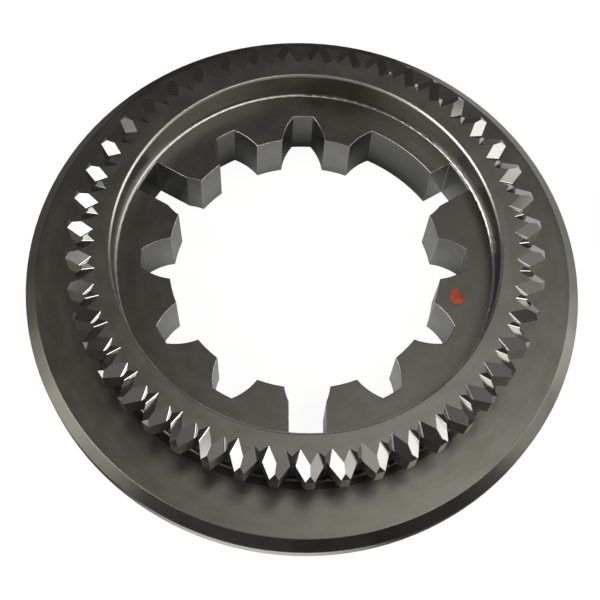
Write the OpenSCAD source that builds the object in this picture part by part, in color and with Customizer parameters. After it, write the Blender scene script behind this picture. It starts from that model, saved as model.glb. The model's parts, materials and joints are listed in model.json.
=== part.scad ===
// Gearbox sliding sleeve: a one-piece steel ring with a shift flange, a fork groove, pointed clutch teeth
// and a splined web that slides on a shaft. The underside lies at Z = 0 and the bore runs along Z.

/* [Flange] */
// Outside diameter of the flange
flange_d = 140; // [130:0.5:160]
// Thickness of the flange
flange_t = 7.2; // [5.5:0.1:10]
// Width of the chamfer on the flange's upper rim, measured across the face
rim_chamfer_w = 2.75; // [1:0.05:4]
// Height of the chamfer on the flange's upper rim
rim_chamfer_h = 2.5; // [1:0.05:4]
// Broken edge round the underside of the rim
rim_break = 0.5; // [0.2:0.1:1.2]

/* [Hub] */
// Height of the hub above the flange
hub_h = 17.4; // [14:0.1:24]
// Diameter of the counterbore in the hub
counterbore_d = 93.4; // [93:0.1:96]
// Depth of the counterbore, from the hub's face to the web
counterbore_depth = 8.8; // [6:0.1:12]
// Fillet between the counterbore's wall and the web
counterbore_fillet = 0.6; // [0.3:0.1:0.8]
// Broken edge at the mouth of the counterbore
mouth_break = 0.45; // [0.2:0.05:1]
// Width of the fork groove, from the flange to the foot of the clutch teeth
groove_w = 8.8; // [6:0.1:10]
// Diameter of the neck at the bottom of the fork groove
neck_d = 106; // [103:0.1:106.4]
// Fillet between the neck and the flange
neck_fillet = 0.8; // [0.3:0.1:1.5]

/* [Clutch teeth] */
// Number of clutch teeth round the hub
clutch_teeth = 45; // [40:1:48]
// Diameter over the tips of the clutch teeth
clutch_tip_d = 115.3; // [114.5:0.1:118]
// Width of the land at a tooth's tip
tip_land = 2.1; // [1.6:0.1:2.6]
// Angle of a tooth's flank from the middle of the tooth
flank_angle = 30; // [27:0.5:32]
// Fillet at the bottom of the gap between two teeth
root_fillet = 0.3; // [0.15:0.05:0.45]
// Chamfer round the top of the tips
tip_chamfer = 2; // [1.6:0.05:2.4]

/* [Tooth points] */
// Diameter on which the points of the teeth lie in the hub's face
point_d = 108.4; // [107.5:0.1:109]
// Slope of the two roof faces of a tooth, below the hub's face
roof_slope = 37; // [32:0.5:42]
// Length of the clockwise roof face's upper edge, from the point inwards
roof_run_cw = 4.4; // [3.4:0.05:4.6]
// Length of the other roof face's upper edge
roof_run_ccw = 3.6; // [3.4:0.05:4.6]
// Angle of the clockwise roof face's inner end, from square across the face
end_skew_cw = 37; // [30:0.5:39]
// Angle of the other roof face's inner end
end_skew_ccw = 30; // [29:0.5:38]
// Lean of the wall at that end, back from square to the face
end_lean = 25; // [20:0.5:30]
// Fillet between that wall and the roof face
end_fillet = 0.35; // [0.2:0.05:0.5]

/* [Spline] */
// Number of places for spline teeth round the bore
spline_places = 12; // [10:1:14]
// Diameter inside the tips of the spline teeth
spline_tip_d = 66.9; // [64:0.1:69]
// Diameter at the bottom of the gaps between them
spline_root_d = 80.1; // [77:0.1:83]
// Width of a gap at the tips
gap_tip_w = 10.84; // [9.6:0.02:11.6]
// Width of a gap at its bottom
gap_root_w = 5; // [4:0.1:6]
// Radius of a spline tooth's hollow flank
spline_flank_r = 14.3; // [11:0.1:30]
// A deep slot stands in place of every so many gaps
slot_every = 4; // [3:1:6]
// Width of a deep slot
slot_w = 8.8; // [8:0.1:9.4]
// Diameter that the deep slots reach
slot_d = 91.6; // [86:0.1:92]

/* [Hidden] */
$fa = 2;
$fs = 0.2;
// How far a cut runs past the face that it opens
overcut = 0.5;

sleeve_h = flange_t + hub_h;
web_t = sleeve_h - counterbore_depth;
flange_r = flange_d / 2;
counterbore_r = counterbore_d / 2;
neck_r = neck_d / 2;
tooth_foot = flange_t + groove_w;

// Clutch teeth: a gap is a wedge whose sides are the flanks of its two teeth
clutch_pitch = 360 / clutch_teeth;
clutch_tip_r = clutch_tip_d / 2;
tip_half_angle = asin(tip_land / clutch_tip_d);
gap_half_angle = clutch_pitch / 2 - tip_half_angle;
gap_slant = flank_angle + clutch_pitch / 2;
gap_mouth = [clutch_tip_r * sin(gap_half_angle), clutch_tip_r * cos(gap_half_angle)];
gap_apex_r = gap_mouth[1] - gap_mouth[0] / tan(gap_slant);
root_centre_r = gap_apex_r + root_fillet / sin(gap_slant);
root_touch_r = gap_apex_r + root_fillet / tan(gap_slant) * cos(gap_slant);
gap_outer_r = clutch_tip_r + overcut;

// Tooth points: the roof face is a strip along the flank, as wide as the way from the point to the flank
point_r = point_d / 2;
tip_corner = [tip_land / 2, clutch_tip_r * cos(tip_half_angle)];
strip_w = tip_corner[0] * cos(flank_angle) + (tip_corner[1] - point_r) * sin(flank_angle);
gap_centre_w = (root_centre_r * sin(clutch_pitch / 2)) * cos(flank_angle)
    + (root_centre_r * cos(clutch_pitch / 2) - point_r) * sin(flank_angle);
strip_reach = max(strip_w, gap_centre_w) / cos(roof_slope) + root_fillet;
strip_out = clutch_tip_r - point_r + tip_land;
strip_in = max(roof_run_cw, roof_run_ccw) + overcut;
end_angle = 90 + end_lean;
end_touch = end_fillet / tan(end_angle / 2);

// Spline: a gap's two sides are arcs through its corners at the tip and at the bottom
spline_pitch = 360 / spline_places;
first_slot = floor(slot_every / 2);
spline_tip_r = spline_tip_d / 2;
spline_root_r = spline_root_d / 2;
tip_point = [gap_tip_w / 2, sqrt(pow(spline_tip_r, 2) - pow(gap_tip_w / 2, 2))];
root_point = [gap_root_w / 2, sqrt(pow(spline_root_r, 2) - pow(gap_root_w / 2, 2))];
flank_chord = norm(root_point - tip_point);
flank_along = (root_point - tip_point) / flank_chord;
flank_inset = sqrt(pow(spline_flank_r, 2) - pow(flank_chord / 2, 2));
flank_centre = (tip_point + root_point) / 2 - flank_inset * [flank_along[1], -flank_along[0]];

// Half section of the ring before its teeth and spline are cut, with X as the radius
module ring_section() {
    difference() {
        union() {
            polygon([
                [0, 0],
                [flange_r - rim_break, 0],
                [flange_r, rim_break],
                [flange_r, flange_t - rim_chamfer_h],
                [flange_r - rim_chamfer_w, flange_t],
                [neck_r, flange_t],
                [neck_r, tooth_foot],
                [clutch_tip_r, tooth_foot],
                [clutch_tip_r, sleeve_h - tip_chamfer],
                [clutch_tip_r - tip_chamfer, sleeve_h],
                [0, sleeve_h]
            ]);
            neck_foot_section();
        }
        counterbore_section();
    }
}

// Half section of the fillet at the foot of the neck
module neck_foot_section() {
    difference() {
        translate([neck_r, flange_t])
            square(neck_fillet);
        translate([neck_r + neck_fillet, flange_t + neck_fillet])
            circle(neck_fillet);
    }
}

// Half section of the counterbore, with its filleted foot and broken mouth
module counterbore_section() {
    fillet_r = counterbore_r - counterbore_fillet;
    fillet_z = web_t + counterbore_fillet;
    translate([0, web_t])
        square([fillet_r, counterbore_depth + overcut]);
    translate([0, fillet_z])
        square([counterbore_r, sleeve_h + overcut - fillet_z]);
    translate([fillet_r, fillet_z])
        circle(counterbore_fillet);
    polygon([
        [0, sleeve_h - mouth_break],
        [counterbore_r, sleeve_h - mouth_break],
        [counterbore_r + mouth_break + overcut, sleeve_h + overcut],
        [0, sleeve_h + overcut]
    ]);
}

// One gap between two clutch teeth, seen from above and centred on +Y
module clutch_gap() {
    touch_w = (root_touch_r - gap_apex_r) * tan(gap_slant);
    outer_w = (gap_outer_r - gap_apex_r) * tan(gap_slant);
    polygon([
        [-touch_w, root_touch_r],
        [touch_w, root_touch_r],
        [outer_w, gap_outer_r],
        [-outer_w, gap_outer_r]
    ]);
    translate([0, root_centre_r])
        circle(root_fillet);
}

// Section across the inner end of a roof face: the wall that stays, with the fillet at its foot
module end_wall() {
    wall_top = [-strip_reach * tan(end_lean), strip_reach];
    wall_back = -strip_in - strip_reach;
    touch_wall = end_touch * [cos(end_angle), sin(end_angle)];
    fillet_centre = [end_touch, end_fillet];
    polygon([
        [0, -overcut],
        [0, 0],
        wall_top,
        [wall_back, strip_reach],
        [wall_back, -overcut]
    ]);
    difference() {
        polygon([[0, 0], [end_touch, 0], fillet_centre, touch_wall]);
        translate(fillet_centre)
            circle(end_fillet);
    }
}

// What is milled off for one roof face.
// X runs in along the flank, Y down the slope and Z square to the face, from the tooth's point.
module roof_cut(run, skew) {
    difference() {
        translate([-strip_out, -overcut, 0])
            cube([strip_out + strip_in, strip_reach + overcut, strip_reach]);
        translate([run, 0, 0])
            rotate([90, 0, 180 + skew])
                linear_extrude(2 * (strip_in + strip_out), center = true)
                    end_wall();
    }
}

// One roof face of the tooth centred on +Y, on its clockwise side
module roof_side(run, skew) {
    translate([0, point_r, sleeve_h])
        rotate(flank_angle - 90)
            rotate([-roof_slope, 0, 0])
                roof_cut(run, skew);
}

// Both roof faces of that tooth
module tooth_point() {
    roof_side(roof_run_cw, end_skew_cw);
    mirror([1, 0, 0])
        roof_side(roof_run_ccw, end_skew_ccw);
}

// The two hollow flanks of a gap between spline teeth, seen from above and centred on +Y
module spline_gap() {
    intersection_for (side = [-1, 1])
        translate([side * flank_centre[0], flank_centre[1]])
            circle(spline_flank_r);
}

// The place of the spline tooth that is left out, between two gaps, the second with a deep slot
module missing_tooth() {
    reach = spline_root_d;
    from = (first_slot - 1) * spline_pitch;
    to = first_slot * spline_pitch;
    polygon([[0, 0], reach * [sin(from), cos(from)], reach * [sin(to), cos(to)]]);
}

// One deep slot, seen from above and centred on +Y
module deep_slot() {
    intersection() {
        circle(slot_d / 2);
        translate([-slot_w / 2, 0])
            square([slot_w, slot_d]);
    }
}

// The whole opening in the web, seen from above
module spline_opening() {
    circle(spline_tip_r);
    intersection() {
        circle(spline_root_r);
        union() {
            for (place = [0 : spline_places - 1])
                rotate(-place * spline_pitch)
                    spline_gap();
            missing_tooth();
        }
    }
    for (place = [first_slot : slot_every : spline_places - 1])
        rotate(-place * spline_pitch)
            deep_slot();
}

module sliding_sleeve() {
    color([0.36, 0.35, 0.33])
        difference() {
            rotate_extrude()
                ring_section();
            translate([0, 0, -overcut])
                linear_extrude(web_t + 2 * overcut)
                    spline_opening();
            translate([0, 0, tooth_foot - overcut])
                linear_extrude(sleeve_h - tooth_foot + 2 * overcut)
                    for (tooth = [0 : clutch_teeth - 1])
                        rotate(tooth * clutch_pitch)
                            clutch_gap();
            for (tooth = [0 : clutch_teeth - 1])
                rotate((tooth + 0.5) * clutch_pitch)
                    tooth_point();
        }
}

sliding_sleeve();
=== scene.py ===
# Gearbox sliding sleeve: machined steel finish, paint mark, studio and camera. Metres and degrees.
import json
import math

import bpy
import numpy as np
from mathutils import Matrix, Vector


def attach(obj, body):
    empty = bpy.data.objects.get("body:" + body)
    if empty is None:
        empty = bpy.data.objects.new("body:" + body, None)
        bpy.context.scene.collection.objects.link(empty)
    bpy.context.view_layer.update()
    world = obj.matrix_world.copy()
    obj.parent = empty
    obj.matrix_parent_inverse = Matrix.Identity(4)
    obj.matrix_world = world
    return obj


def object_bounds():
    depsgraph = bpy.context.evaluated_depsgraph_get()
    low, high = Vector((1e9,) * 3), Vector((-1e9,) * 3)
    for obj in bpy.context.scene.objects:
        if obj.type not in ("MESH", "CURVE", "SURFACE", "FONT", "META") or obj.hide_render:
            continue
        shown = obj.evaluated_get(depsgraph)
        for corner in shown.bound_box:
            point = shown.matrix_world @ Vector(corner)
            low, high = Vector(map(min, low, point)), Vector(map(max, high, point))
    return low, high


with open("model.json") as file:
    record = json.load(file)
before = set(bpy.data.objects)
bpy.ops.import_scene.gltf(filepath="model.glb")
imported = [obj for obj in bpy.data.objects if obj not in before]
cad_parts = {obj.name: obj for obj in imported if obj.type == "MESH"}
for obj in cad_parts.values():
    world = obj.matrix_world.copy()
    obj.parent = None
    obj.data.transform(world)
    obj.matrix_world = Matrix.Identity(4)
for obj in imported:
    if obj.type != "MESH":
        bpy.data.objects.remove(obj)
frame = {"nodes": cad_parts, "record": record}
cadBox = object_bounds()
sleeveNode = frame["nodes"]["sliding_sleeve"]
mounts = {m["name"]: m for m in frame["record"]["mounts"]}
print("frame loaded, box", [round(v, 4) for v in cadBox[1] - cadBox[0]])

# heights and radii that the finish follows, from the frame where it states them
sleeve = {
    "flangeFace": mounts["flange_face"]["pos_m"][2],
    "webFace": 0.0158,
    "toothFoot": 0.0160,
    "hubFace": cadBox[1].z,
    "roofDepth": 0.0034,             # how far a clutch tooth's roof reaches below the hub's face
    "counterbore": mounts["counterbore"]["dims"]["r_mm"] / 1000,
    "roofInner": 0.0500,
    "filletOuter": 0.0542,
    "neck": 0.0556,
    "rimWall": 0.0693,
}


class Wire:
    # one output of a shader node; sums and products of wires add Math nodes to the same tree
    def __init__(self, tree, socket=None):
        self.tree = tree
        self.socket = socket

    def make(self, kind, settings=None, values=None, out=0):
        node = self.tree.nodes.new("ShaderNode" + kind)
        for key, value in (settings or {}).items():
            setattr(node, key, value)
        for key, value in (values or {}).items():
            if isinstance(value, Wire):
                self.tree.links.new(value.socket, node.inputs[key])
            else:
                node.inputs[key].default_value = value
        return Wire(self.tree, node.outputs[out] if len(node.outputs) else None)

    def math(self, operation, *terms):
        return self.make("Math", {"operation": operation}, dict(enumerate(terms)))

    def __add__(self, other):
        return self.math("ADD", self, other)

    def __radd__(self, other):
        return self.math("ADD", other, self)

    def __sub__(self, other):
        return self.math("SUBTRACT", self, other)

    def __rsub__(self, other):
        return self.math("SUBTRACT", other, self)

    def __mul__(self, other):
        return self.math("MULTIPLY", self, other)

    def __rmul__(self, other):
        return self.math("MULTIPLY", other, self)

    def __truediv__(self, other):
        return self.math("DIVIDE", self, other)

    def __rtruediv__(self, other):
        return self.math("DIVIDE", other, self)

    def most(self, other):
        # the larger of the two
        return self.math("MAXIMUM", self, other)

    def step(self, low, high, start=0.0, end=1.0):
        # smooth climb from start to end as this wire goes from low to high
        return self.make(
            "MapRange",
            {"interpolation_type": "SMOOTHSTEP"},
            {"Value": self, "From Min": low, "From Max": high, "To Min": start, "To Max": end},
        )

    def apart(self, level, low, high):
        # the same climb, from 0 to 1, as this wire's distance from a level goes from low to high
        return self.math("ABSOLUTE", self - level).step(low, high)

    def blend(self, share, first, second):
        # colour that goes from first to second as share goes from 0 to 1
        return self.make("Mix", {"data_type": "RGBA"}, {"Factor": share, 6: first, 7: second}, out=2)


def newTree(name):
    material = bpy.data.materials.new(name)
    material.use_nodes = True
    material.node_tree.nodes.clear()
    return material, Wire(material.node_tree)


# machined steel: turned faces in a deep grey, ground points and broached bore of bright steel, edges rubbed
# bright; painted shade on the teeth's sides, neck, web, flange and counterbore wall, painted light on the
# hub's face and low on the spline's walls, painted highlights on fillets, corners and the rim's wall
steel = {
    "turnedTone": (0.25, 0.243, 0.211, 1),
    "groundTone": (0.60, 0.59, 0.56, 1),
    "boreTone": (0.56, 0.565, 0.56, 1),
    # painted shade: a deep tone laid on the teeth's upright sides and the neck, and shares of it on the
    # counterbore wall, web and flange
    "paintedShadeTone": (0.13, 0.127, 0.115, 1),
    # near-white tone that brightens the fillets' glint: painted highlight on real fillets
    "filletGlintTone": (0.96, 0.95, 0.93, 1),
    # near-white tone on worn edges, also used as painted highlight lines on the counterbore's corners and the
    # rim's wall
    "edgeAndGlintTone": (0.90, 0.89, 0.87, 1),
    "turnedRough": 0.31,
    "flankRough": 0.20,
    "groundRough": 0.13,
    "filletRough": 0.07,
    "boreRough": 0.22,
    "burnishRough": 0.30,
    # painted light and shade on turned faces: the hub's face takes a share of the ground tone as painted
    # light, the counterbore wall, web and flange take shares of the teeth's shade tone as painted shade
    "hubPaintedLight": 0.08,
    "shellPaintedShade": 0.3,
    "webPaintedShade": 0.4,
    "flangePaintedShade": 0.16,
    # worn edges, plus painted highlights on burnished corners and the rim's wall
    "wearAndGlintShare": 0.8,                     # share of the edge tone
    "wornTurn": (0.995, 0.9),        # cosine between rounded and flat normal, from no wear to full wear
    "wornInset": (0.0006, 0.0008),   # how far inside the counterbore the worn edges begin
    "edgeRadius": 0.00036,
    "edgeSamples": 6,
    "burnishReach": 0.0007,          # how far the burnish runs from a corner of the counterbore
    # upward part of a face's normal, from just outside each finish to well inside it
    "levelUp": (0.9, 0.95),
    "roofBelow": (0.97, 0.9),
    "roofAbove": (0.3, 0.4),
    "shellBelow": (0.10, 0.05),
    "broachBelow": (0.5, 0.2),
    "burnishBelow": (0.995, 0.97),
    "burnishAbove": (0.02, 0.06),
    "rimBelow": (0.6, 0.4),
    "roofUp": (0.7986, 0.666, 0.610),    # a roof face of a clutch tooth and its two end walls
    "filletApart": (0.004, 0.010),       # how far a fillet is from those three
    "hair": 0.0001,                  # soft border of a finish
    # turning marks
    "markPitch": 0.00022,
    "markDepth": 0.0000012,
    "markClimb": 1.37,               # marks up a wall for each one across a face
    "markDetail": 2.0,
    # smudges
    "smudgeTurn": 7.0,               # to a radian round the axis
    "smudgePitch": 0.0035,           # across the radius
    "smudgeDetail": 4.0,
    "smudgeSpan": (0.3, 0.75),
    "smudgeTone": 0.16,              # share of the ground tone
    "smudgeRough": 0.2,
    "grain": 0.6,                    # roughness of both noises
    # the spline's walls take more of the bright bore tone low down, lighter towards the bottom: painted
    # reflection of the floor
    "liftHeight": 0.2,               # all bare below this part of the web's height
    "liftTop": 0.35,
    "liftSpan": (0.2, 0.7),
    "liftSmudged": 0.85,
}


def steelFinish():
    material, t = newTree("machinedSteel")
    place = t.make("TexCoord", out="Object")
    x, y, z = (t.make("SeparateXYZ", values={0: place}, out=k) for k in range(3))
    radius = t.math("SQRT", x * x + y * y)
    face = t.make("NewGeometry", out="True Normal")
    upward = t.make("SeparateXYZ", values={0: face}, out=2)
    level = upward.step(*steel["levelUp"])
    hair = steel["hair"]
    bore = sleeve["counterbore"]
    webFace = sleeve["webFace"]
    hubFace = sleeve["hubFace"]
    toothFoot = sleeve["toothFoot"]
    roofFoot = hubFace - sleeve["roofDepth"]

    # ground: roof faces and tip chamfers of the clutch teeth; fillet: bent strips where the roofs end, given a
    # painted highlight tone;
    # flank: the teeth's upright sides, given painted shade
    toothed = radius.step(sleeve["roofInner"], sleeve["roofInner"] + hair)
    high = z.step(roofFoot, roofFoot + hair)
    ground = toothed * high * upward.step(*steel["roofBelow"]) * upward.step(*steel["roofAbove"])
    bent = 1.0
    for up in steel["roofUp"]:
        bent = upward.apart(up, *steel["filletApart"]) * bent
    fillet = ground * bent * radius.step(sleeve["filletOuter"] + hair, sleeve["filletOuter"])
    flank = toothed * z.step(toothFoot - hair, toothFoot) * upward.step(*steel["roofAbove"][::-1])
    # groove: the neck behind the teeth, given painted shade; shell: the counterbore's wall, given a share of
    # painted shade
    groove = toothed * z.step(toothFoot, toothFoot - hair) * radius.step(sleeve["neck"] + hair, sleeve["neck"])
    shell = radius.step(bore + 2 * hair, bore + hair) * z.step(webFace, webFace + hair)
    shell = shell * upward.step(*steel["shellBelow"])
    web = z.apart(webFace, hair, hair / 2) * level
    flange = z.apart(sleeve["flangeFace"], hair, hair / 2) * level
    hub = z.step(hubFace - hair, hubFace - hair / 2) * level
    # broached: walls of the spline, below the web's face
    within = radius.step(bore + 2 * hair, bore - 2 * hair)
    broached = within * z.step(webFace + hair, webFace - hair) * upward.step(*steel["broachBelow"])
    # burnished: tilted strips at the counterbore's foot and mouth, smoother and given a near-white tone as
    # painted highlight lines
    reach = steel["burnishReach"]
    corner = radius.apart(bore, reach + hair, reach)
    foot = z.apart(webFace, reach + hair, reach)
    mouth = z.step(hubFace - reach - hair, hubFace - reach)
    tilted = upward.step(*steel["burnishBelow"]) * upward.step(*steel["burnishAbove"])
    burnishedGlint = corner * foot.most(mouth) * tilted
    # worn edges, where the rounded normal leaves the face's own, plus painted highlights on the rim's wall and
    # the burnished strips; the clutch teeth's points stay crisp
    rounded = t.make("Bevel", {"samples": steel["edgeSamples"]}, {"Radius": steel["edgeRadius"]})
    crisp = t.make("NewGeometry", out="Normal")
    normal = t.make("Mix", {"data_type": "VECTOR"}, {"Factor": toothed * high, 4: rounded, 5: crisp}, out=1)
    square = t.make("VectorMath", {"operation": "DOT_PRODUCT"}, {0: rounded, 1: face}, out="Value")
    inside = radius.step(*(bore - inset for inset in steel["wornInset"]))
    rim = radius.step(sleeve["rimWall"], sleeve["rimWall"] + hair) * upward.step(*steel["rimBelow"])
    wearAndGlint = (square.step(*steel["wornTurn"]) * inside).most(rim).most(burnishedGlint) * steel["wearAndGlintShare"]

    # turning marks: a fine 1-D noise that runs along the radius on faces and along the height on walls
    marks = t.make(
        "TexNoise",
        {"noise_dimensions": "1D"},
        {
            "W": radius + steel["markClimb"] * z,
            "Scale": 1 / steel["markPitch"],
            "Detail": steel["markDetail"],
            "Roughness": steel["grain"],
        },
    )
    # smudges: noise drawn out round the axis, (turn * cos, turn * sin, (radius + height) / pitch)
    spin = t.make(
        "CombineXYZ",
        {},
        {
            0: x / radius * steel["smudgeTurn"],
            1: y / radius * steel["smudgeTurn"],
            2: (radius + z) / steel["smudgePitch"],
        },
    )
    smudge = t.make(
        "TexNoise",
        {},
        {"Vector": spin, "Scale": 1.0, "Detail": steel["smudgeDetail"], "Roughness": steel["grain"]},
    )

    relief = marks * (1 - broached) * (1 - ground)
    bump = t.make(
        "Bump",
        {},
        {"Strength": 1.0, "Distance": steel["markDepth"], "Height": relief, "Normal": normal},
    )
    rough = (
        steel["turnedRough"]
        + flank * (steel["flankRough"] - steel["turnedRough"])
        + ground * (steel["groundRough"] - steel["turnedRough"])
        + fillet * (steel["filletRough"] - steel["groundRough"])
        + broached * (steel["boreRough"] - steel["turnedRough"])
        + burnishedGlint * (steel["burnishRough"] - steel["turnedRough"])
        + (smudge - 0.5) * steel["smudgeRough"] * (1 - ground)
    )
    # random smudges, plus painted light on the hub's face
    smudgeAndPaintedLight = smudge.step(*steel["smudgeSpan"]) * steel["smudgeTone"] + hub * steel["hubPaintedLight"]
    # painted shade on the counterbore wall, web and flange
    paintedShadeShare = shell * steel["shellPaintedShade"] + web * steel["webPaintedShade"] + flange * steel["flangePaintedShade"]
    # the spline's walls lighter towards the bottom: painted reflection of the floor
    lowerPaintedLift = z.step(webFace, steel["liftHeight"] * webFace, steel["liftTop"], 1.0)
    lowerPaintedLift = lowerPaintedLift * smudge.step(*steel["liftSpan"], steel["liftSmudged"], 1.0)
    tone = steel["turnedTone"]
    for share, over in (
        (smudgeAndPaintedLight, "groundTone"),
        (flank.most(groove).most(paintedShadeShare), "paintedShadeTone"),
        (ground, "groundTone"),
        (fillet, "filletGlintTone"),
        (broached * lowerPaintedLift, "boreTone"),
        (wearAndGlint, "edgeAndGlintTone"),
    ):
        tone = t.blend(share, tone, steel[over])
    shaded = t.make(
        "BsdfPrincipled",
        {},
        {"Base Color": tone, "Roughness": rough, "Metallic": 1.0, "Normal": bump},
    )
    t.make("OutputMaterial", {}, {"Surface": shaded})
    return material


sleeveNode.data.materials.clear()
sleeveNode.data.materials.append(steelFinish())
print("steel finish set")


# inspection mark: a dab of paint on the web's face
dab = {
    "radius": 0.0382,                # from the bore's axis
    "angle": 105.2,                  # clockwise from +Y, seen from above
    "reach": 0.00187,
    # cosine and sine parts of the outline's turns 1 to 3
    "lobes": [(-0.00012, -0.00006), (-0.00025, -0.00017), (0.00002, -0.00022)],
    "thickness": 0.00012,
    "sunk": 0.00005,
    "rows": 14,
    "columns": 64,
    "colour": (0.58, 0.10, 0.04, 1),
    "thinColour": (0.42, 0.075, 0.035, 1),
    "thinSpan": (0.35, 0.7),
    "blotchScale": 900.0,
    "blotchDetail": 3.0,
    "rough": 0.35,
    "blotchRough": 0.3,
}


def dabShape():
    # rows of share = 0..1 from the middle to the rim, columns of a round it from +X towards +Y:
    # reach(a) = reach + sum(c_k * cos(k a) + s_k * sin(k a)), height = thickness * sqrt(1 - share^2);
    # the last row is the flat foot, sunk into the web
    rows, columns = dab["rows"], dab["columns"]
    a = np.linspace(0, 2 * np.pi, columns, endpoint=False)
    share = np.linspace(0, 1, rows)[1:]
    reach = np.full(columns, dab["reach"])
    for turns, (c, s) in enumerate(dab["lobes"], 1):
        reach += c * np.cos(turns * a) + s * np.sin(turns * a)
    along = np.outer(share, reach * np.cos(a))
    across = np.outer(share, reach * np.sin(a))
    rise = np.repeat((dab["thickness"] * np.sqrt(1 - share ** 2))[:, None], columns, 1)
    middle = np.array([[0, 0, dab["thickness"]]])
    grid = np.stack([along, across, rise], -1).reshape(-1, 3)
    skirt = np.stack([along[-1], across[-1], np.full(columns, -dab["sunk"])], -1)
    foot = np.array([[0, 0, -dab["sunk"]]])
    turn = math.radians(dab["angle"])
    seat = np.array([math.sin(turn) * dab["radius"], math.cos(turn) * dab["radius"], sleeve["webFace"]])
    places = np.concatenate([middle, grid, skirt, foot]) + seat

    k = np.arange(columns)
    n = (k + 1) % columns
    cap = np.stack([np.zeros(columns, int), 1 + k, 1 + n], -1)
    ringStart = 1 + np.arange(rows - 1)[:, None] * columns
    quads = np.stack([ringStart + columns + k, ringStart + columns + n, ringStart + n, ringStart + k], -1)
    base = 1 + (rows - 1) * columns
    under = np.stack([np.full(columns, base + columns), base + n, base + k], -1)
    faces = cap.tolist() + quads.reshape(-1, 4).tolist() + under.tolist()
    mesh = bpy.data.meshes.new("paintMark")
    mesh.from_pydata(places.tolist(), [], faces)
    mesh.validate()
    mesh.shade_smooth()
    return mesh


def dabPaint():
    material, t = newTree("markPaint")
    place = t.make("TexCoord", out="Object")
    blotch = t.make(
        "TexNoise",
        {},
        {"Vector": place, "Scale": dab["blotchScale"], "Detail": dab["blotchDetail"]},
    )
    shade = t.blend(blotch.step(*dab["thinSpan"]), dab["colour"], dab["thinColour"])
    rough = blotch * dab["blotchRough"] + dab["rough"]
    shaded = t.make("BsdfPrincipled", {}, {"Base Color": shade, "Roughness": rough})
    t.make("OutputMaterial", {}, {"Surface": shaded})
    return material


def makeDab():
    mesh = dabShape()
    mesh.materials.append(dabPaint())
    piece = bpy.data.objects.new("paintMark", mesh)
    bpy.context.scene.collection.objects.link(piece)
    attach(piece, "root")


makeDab()
print("paint mark made")


# camera: fitted to the photograph's ellipses and teeth
lens = {
    "elevation": 67.85,
    "azimuth": -5.38,
    "roll": 5.03,
    "depth": 0.28935,                # from the lens to the hub's face along the view
    "focal": 1210.75,                # in pixels
    "frame": 600,
    "hubCentre": (306.70, 243.45),   # pixel of the bore's axis in the hub's face
    "sensor": 36.0,
    "clipStart": 0.01,
}


def makeCamera():
    e, a, roll = (math.radians(lens[k]) for k in ("elevation", "azimuth", "roll"))
    back = Vector((math.sin(a) * math.cos(e), -math.cos(a) * math.cos(e), math.sin(e)))
    level = Vector((math.cos(a), math.sin(a), 0))
    rise = back.cross(level)
    right = math.cos(roll) * level + math.sin(roll) * rise
    up = math.cos(roll) * rise - math.sin(roll) * level
    half = lens["frame"] / 2
    scale = lens["depth"] / lens["focal"]
    shiftRight = (lens["hubCentre"][0] - half) * scale
    shiftUp = (half - lens["hubCentre"][1]) * scale
    hub = Vector((0, 0, sleeve["hubFace"]))
    seat = hub + back * lens["depth"] - right * shiftRight - up * shiftUp
    data = bpy.data.cameras.new("photoCamera")
    data.sensor_width = lens["sensor"]
    data.lens = lens["focal"] * lens["sensor"] / lens["frame"]
    data.clip_start = lens["clipStart"]
    camera = bpy.data.objects.new("photoCamera", data)
    turn = Matrix((right, up, back)).transposed().to_4x4()
    camera.matrix_world = Matrix.Translation(seat) @ turn
    bpy.context.scene.collection.objects.link(camera)
    bpy.context.scene.camera = camera


makeCamera()
print("camera set")


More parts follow.
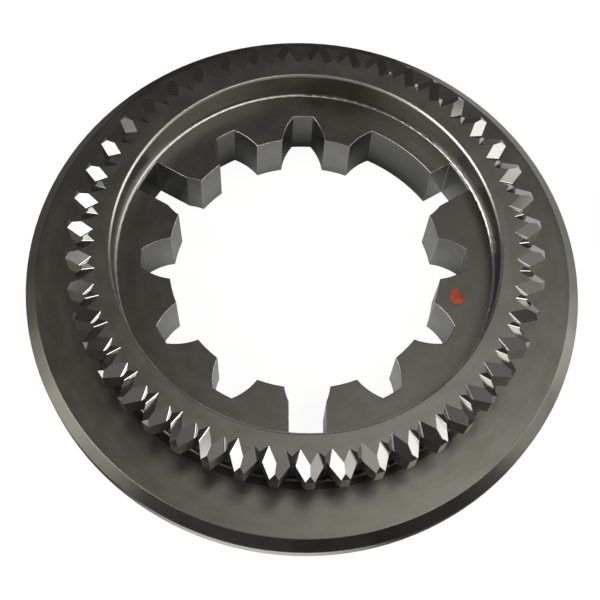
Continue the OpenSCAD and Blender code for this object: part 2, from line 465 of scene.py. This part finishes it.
# studio: pale floor, soft panels round the sleeve; angles are clockwise from the far side, seen from above
studio = {
    "floorSize": 8.0,
    "floorDrop": 0.0002,
    "floorTone": (0.06, 0.06, 0.06, 1),
    "floorShade": (0.15, 0.15, 0.15, 1),     # the part of the floor's look that takes the shadow
    "floorGlow": 0.935,
    # how much of that glow the metal shows: four lit patches, and the floor further off
    "patches": [
        # centre, inner and outer radius of the soft edge, share
        ((-0.02, -0.105, 0.0), 0.035, 0.060, 0.55),
        ((0.0, -0.004, 0.0), 0.027, 0.046, 0.40),
        ((0.115, 0.05, 0.0), 0.065, 0.095, 0.56),
        ((-0.115, 0.03, 0.0), 0.050, 0.090, 0.16),
    ],
    "farShare": 0.02,
    "sky": (0.04, 0.04, 0.04, 1),
    "backdrop": (1, 1, 1, 1),
    "panelDistance": 0.9,
    "panels": [
        # name, clockwise angle, elevation, width, height, radiance, colour
        ("panelRight", 76, 17, 0.35, 0.28, 1.45, (1.0, 0.99, 0.95)),
        ("panelRightLow", 79, 3, 0.34, 0.12, 3.3, (1.0, 0.99, 0.95)),
        ("panelRightFront", 101, 11, 0.36, 0.14, 2.3, (1.0, 0.99, 0.93)),
        ("panelRightSoft", 96, 19, 0.30, 0.14, 0.65, (1.0, 0.99, 0.94)),
        ("panelRightHigh", 80, 42, 0.40, 0.40, 1.75, (1.0, 0.99, 0.95)),
        ("panelSide", 120, 30, 0.46, 0.24, 0.23, (1.0, 0.99, 0.94)),
        ("panelTop", 106, 68, 0.42, 0.23, 3.5, (1.0, 0.985, 0.95)),
        ("panelTopFar", 40, 66, 0.42, 0.26, 0.42, (1.0, 0.99, 0.95)),
        ("panelZenith", 90, 83, 0.40, 0.24, 0.75, (1.0, 0.98, 0.91)),
        ("panelFar", 340, 62, 0.60, 0.24, 0.10, (1.0, 0.99, 0.94)),
        ("panelFill", 350, 80, 0.30, 0.20, 0.35, (1.0, 0.99, 0.94)),
        ("panelLeft", 249, 19, 0.68, 0.26, 1.75, (1.0, 1.0, 0.97)),
        ("panelLeftFar", 274, 18, 0.12, 0.24, 0.32, (1.0, 0.99, 0.93)),
        ("panelLeftLow", 257, 8, 0.46, 0.12, 1.8, (1.0, 0.97, 0.84)),
        ("panelLeftHigh", 250, 36, 0.52, 0.285, 2.2, (1.0, 1.0, 0.97)),
        ("panelLeftEdge", 222, 33, 0.14, 0.24, 0.40, (1.0, 0.99, 0.93)),
        ("panelFrontLow", 166, 34, 0.66, 0.20, 0.13, (1.0, 0.99, 0.94)),
        ("panelFrontLeft", 240, 53, 0.55, 0.25, 3.4, (1.0, 0.975, 0.89)),
        ("panelFrontRight", 150, 53, 0.60, 0.25, 0.8, (1.0, 0.975, 0.91)),
    ],
}


def makePanel(name, angle, elevation, width, height, radiance, colour):
    a = math.radians(angle - lens["azimuth"])
    e = math.radians(elevation)
    direction = Vector((math.sin(a) * math.cos(e), math.cos(a) * math.cos(e), math.sin(e)))
    data = bpy.data.lights.new(name, "AREA")
    data.shape = "RECTANGLE"
    data.size = width
    data.size_y = height
    data.energy = radiance * math.pi * width * height
    data.color = colour
    panel = bpy.data.objects.new(name, data)
    panel.location = direction * studio["panelDistance"]
    panel.rotation_mode = "QUATERNION"
    panel.rotation_quaternion = direction.to_track_quat("Z", "Y")
    bpy.context.scene.collection.objects.link(panel)


def makeFloor():
    half = studio["floorSize"] / 2
    corners = [(-half, -half), (half, -half), (half, half), (-half, half)]
    mesh = bpy.data.meshes.new("floor")
    mesh.from_pydata([(x, y, -studio["floorDrop"]) for x, y in corners], [], [(0, 1, 2, 3)])
    floor = bpy.data.objects.new("floor", mesh)
    bpy.context.scene.collection.objects.link(floor)
    material, t = newTree("paleFloor")
    cameraRay = t.make("LightPath", out="Is Camera Ray")
    glossyRay = t.make("LightPath", out="Is Glossy Ray")
    passRay = t.make("LightPath", out="Is Transmission Ray")
    place = t.make("TexCoord", out="Object")
    share = studio["farShare"]
    for centre, inner, outer, level in studio["patches"]:
        away = t.make("VectorMath", {"operation": "DISTANCE"}, {0: place, 1: centre}, out="Value")
        share = away.step(inner, outer, level, 0.0).most(share)
    seen = cameraRay.most(passRay).most(glossyRay * share)
    matt = t.make("BsdfDiffuse", {}, {"Color": studio["floorTone"]})
    pale = t.make("BsdfDiffuse", {}, {"Color": studio["floorShade"]})
    glow = t.make("Emission", {}, {"Strength": studio["floorGlow"]})
    lit = t.make("AddShader", {}, {0: pale, 1: glow})
    above = t.make("MixShader", {}, {0: seen, 1: matt, 2: lit})
    # from below the floor is clear, so that the underside can be looked at
    behind = t.make("NewGeometry", out="Backfacing")
    clear = t.make("BsdfTransparent")
    surface = t.make("MixShader", {}, {0: behind, 1: above, 2: clear})
    t.make("OutputMaterial", {}, {"Surface": surface})
    mesh.materials.append(material)


def makeWorld():
    world = bpy.data.worlds.new("studioWorld")
    world.use_nodes = True
    world.node_tree.nodes.clear()
    t = Wire(world.node_tree)
    cameraRay = t.make("LightPath", out="Is Camera Ray")
    dim = t.make("Background", {}, {"Color": studio["sky"], "Strength": 1.0})
    white = t.make("Background", {}, {"Color": studio["backdrop"], "Strength": 1.0})
    surface = t.make("MixShader", {}, {0: cameraRay, 1: dim, 2: white})
    t.make("OutputWorld", {}, {"Surface": surface})
    bpy.context.scene.world = world


for panel in studio["panels"]:
    makePanel(*panel)
makeFloor()
makeWorld()
bpy.context.scene.view_settings.view_transform = "Standard"
print("studio lit")
